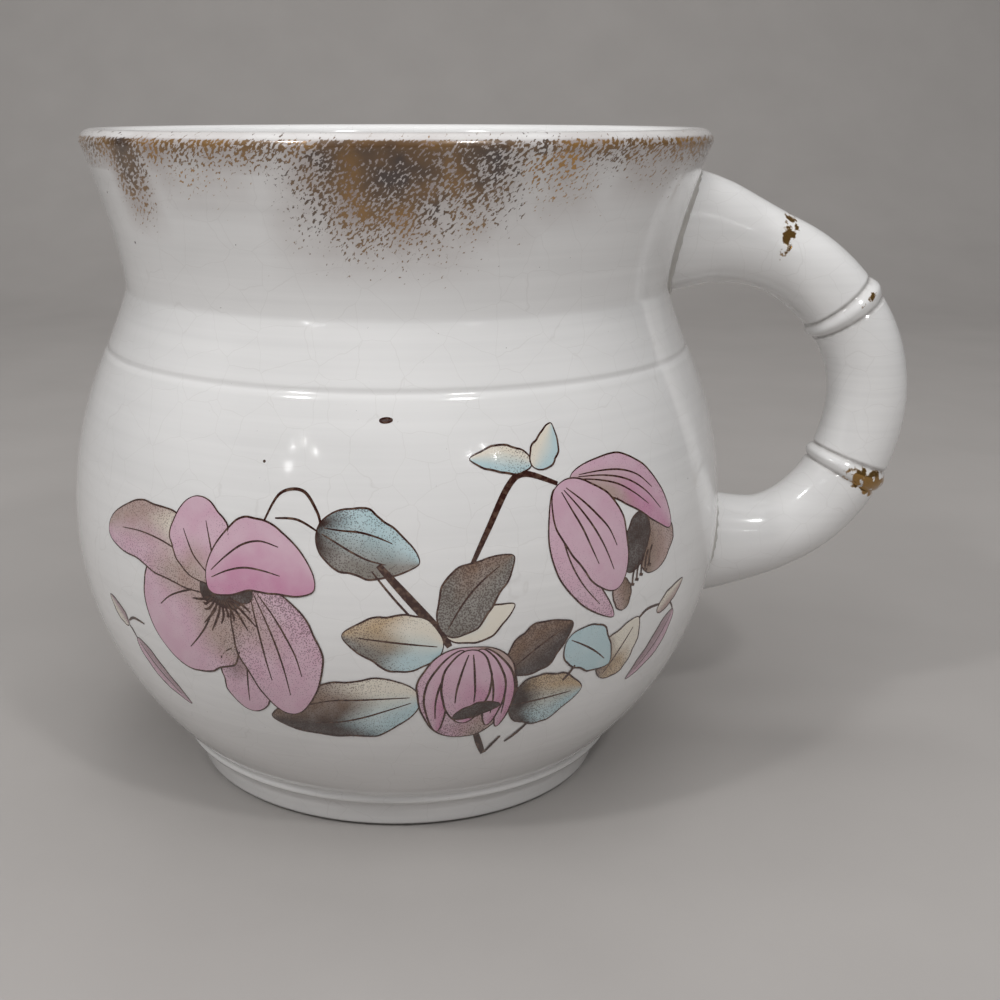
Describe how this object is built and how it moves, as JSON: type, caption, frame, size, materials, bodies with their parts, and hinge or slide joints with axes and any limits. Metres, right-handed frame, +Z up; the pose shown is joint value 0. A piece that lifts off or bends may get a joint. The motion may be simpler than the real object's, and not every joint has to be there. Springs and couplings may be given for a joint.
{
  "type": "shaving mug",
  "caption": "Round-bellied earthenware shaving mug with a flared collar, a foot ring and a bamboo-shaped loop handle.",
  "frame": {"origin": "centre of the bounding box at the level of the foot, so the turning axis stands at x = -0.0149 m", "axes": "+Z up, +X from the vessel towards the handle, -Y is the front of the mug"},
  "size_m": [0.1275, 0.0978, 0.0957],
  "materials": {
    "body_glaze": "glossy crazed glaze over off-white earthenware",
    "handle_glaze": "glossy glaze over off-white earthenware",
    "slip_glaze": "glaze pooled grey in the joint"
  },
  "bodies": {
    "root": {"mug_body": "body_glaze", "handle": "handle_glaze", "upper_joint_slip": "slip_glaze", "lower_joint_slip": "slip_glaze"}
  },
  "joints": []
}
